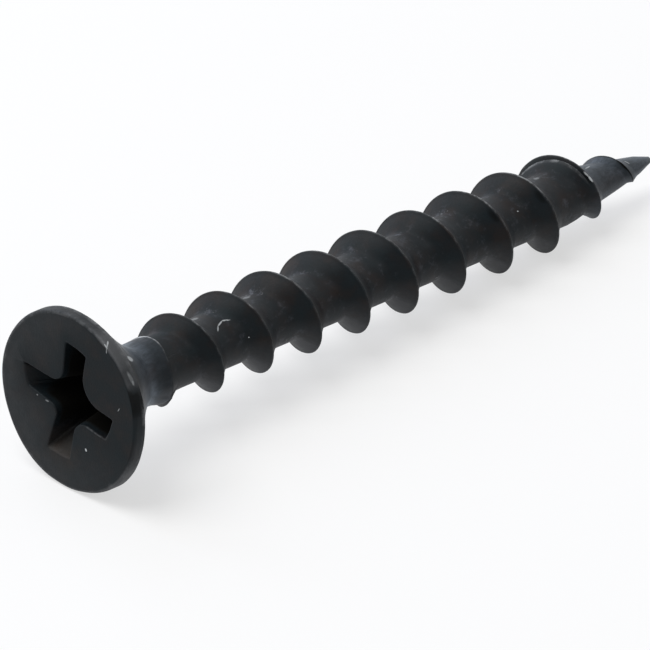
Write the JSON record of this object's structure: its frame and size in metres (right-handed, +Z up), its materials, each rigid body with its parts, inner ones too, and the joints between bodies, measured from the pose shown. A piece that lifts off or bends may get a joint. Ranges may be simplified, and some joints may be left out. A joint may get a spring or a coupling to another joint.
{
  "type": "drywall screw",
  "caption": "Black coarse-thread drywall screw with a bugle head, a cross recess and a rolled point, lying as it rests on a bench.",
  "frame": {"origin": "on the bench, under the middle of the lying screw's bounding box", "axes": "+Z up from the bench; the screw lies along X with its point towards +X and its head towards -X, leaning down to the point by about 4 degrees because the head is wider than the thread"},
  "size_m": [0.0342, 0.0076, 0.0076],
  "materials": {
    "black_phosphate": "satin-matte black phosphate on steel"
  },
  "bodies": {
    "root": {"screw": "black_phosphate"}
  },
  "joints": []
}
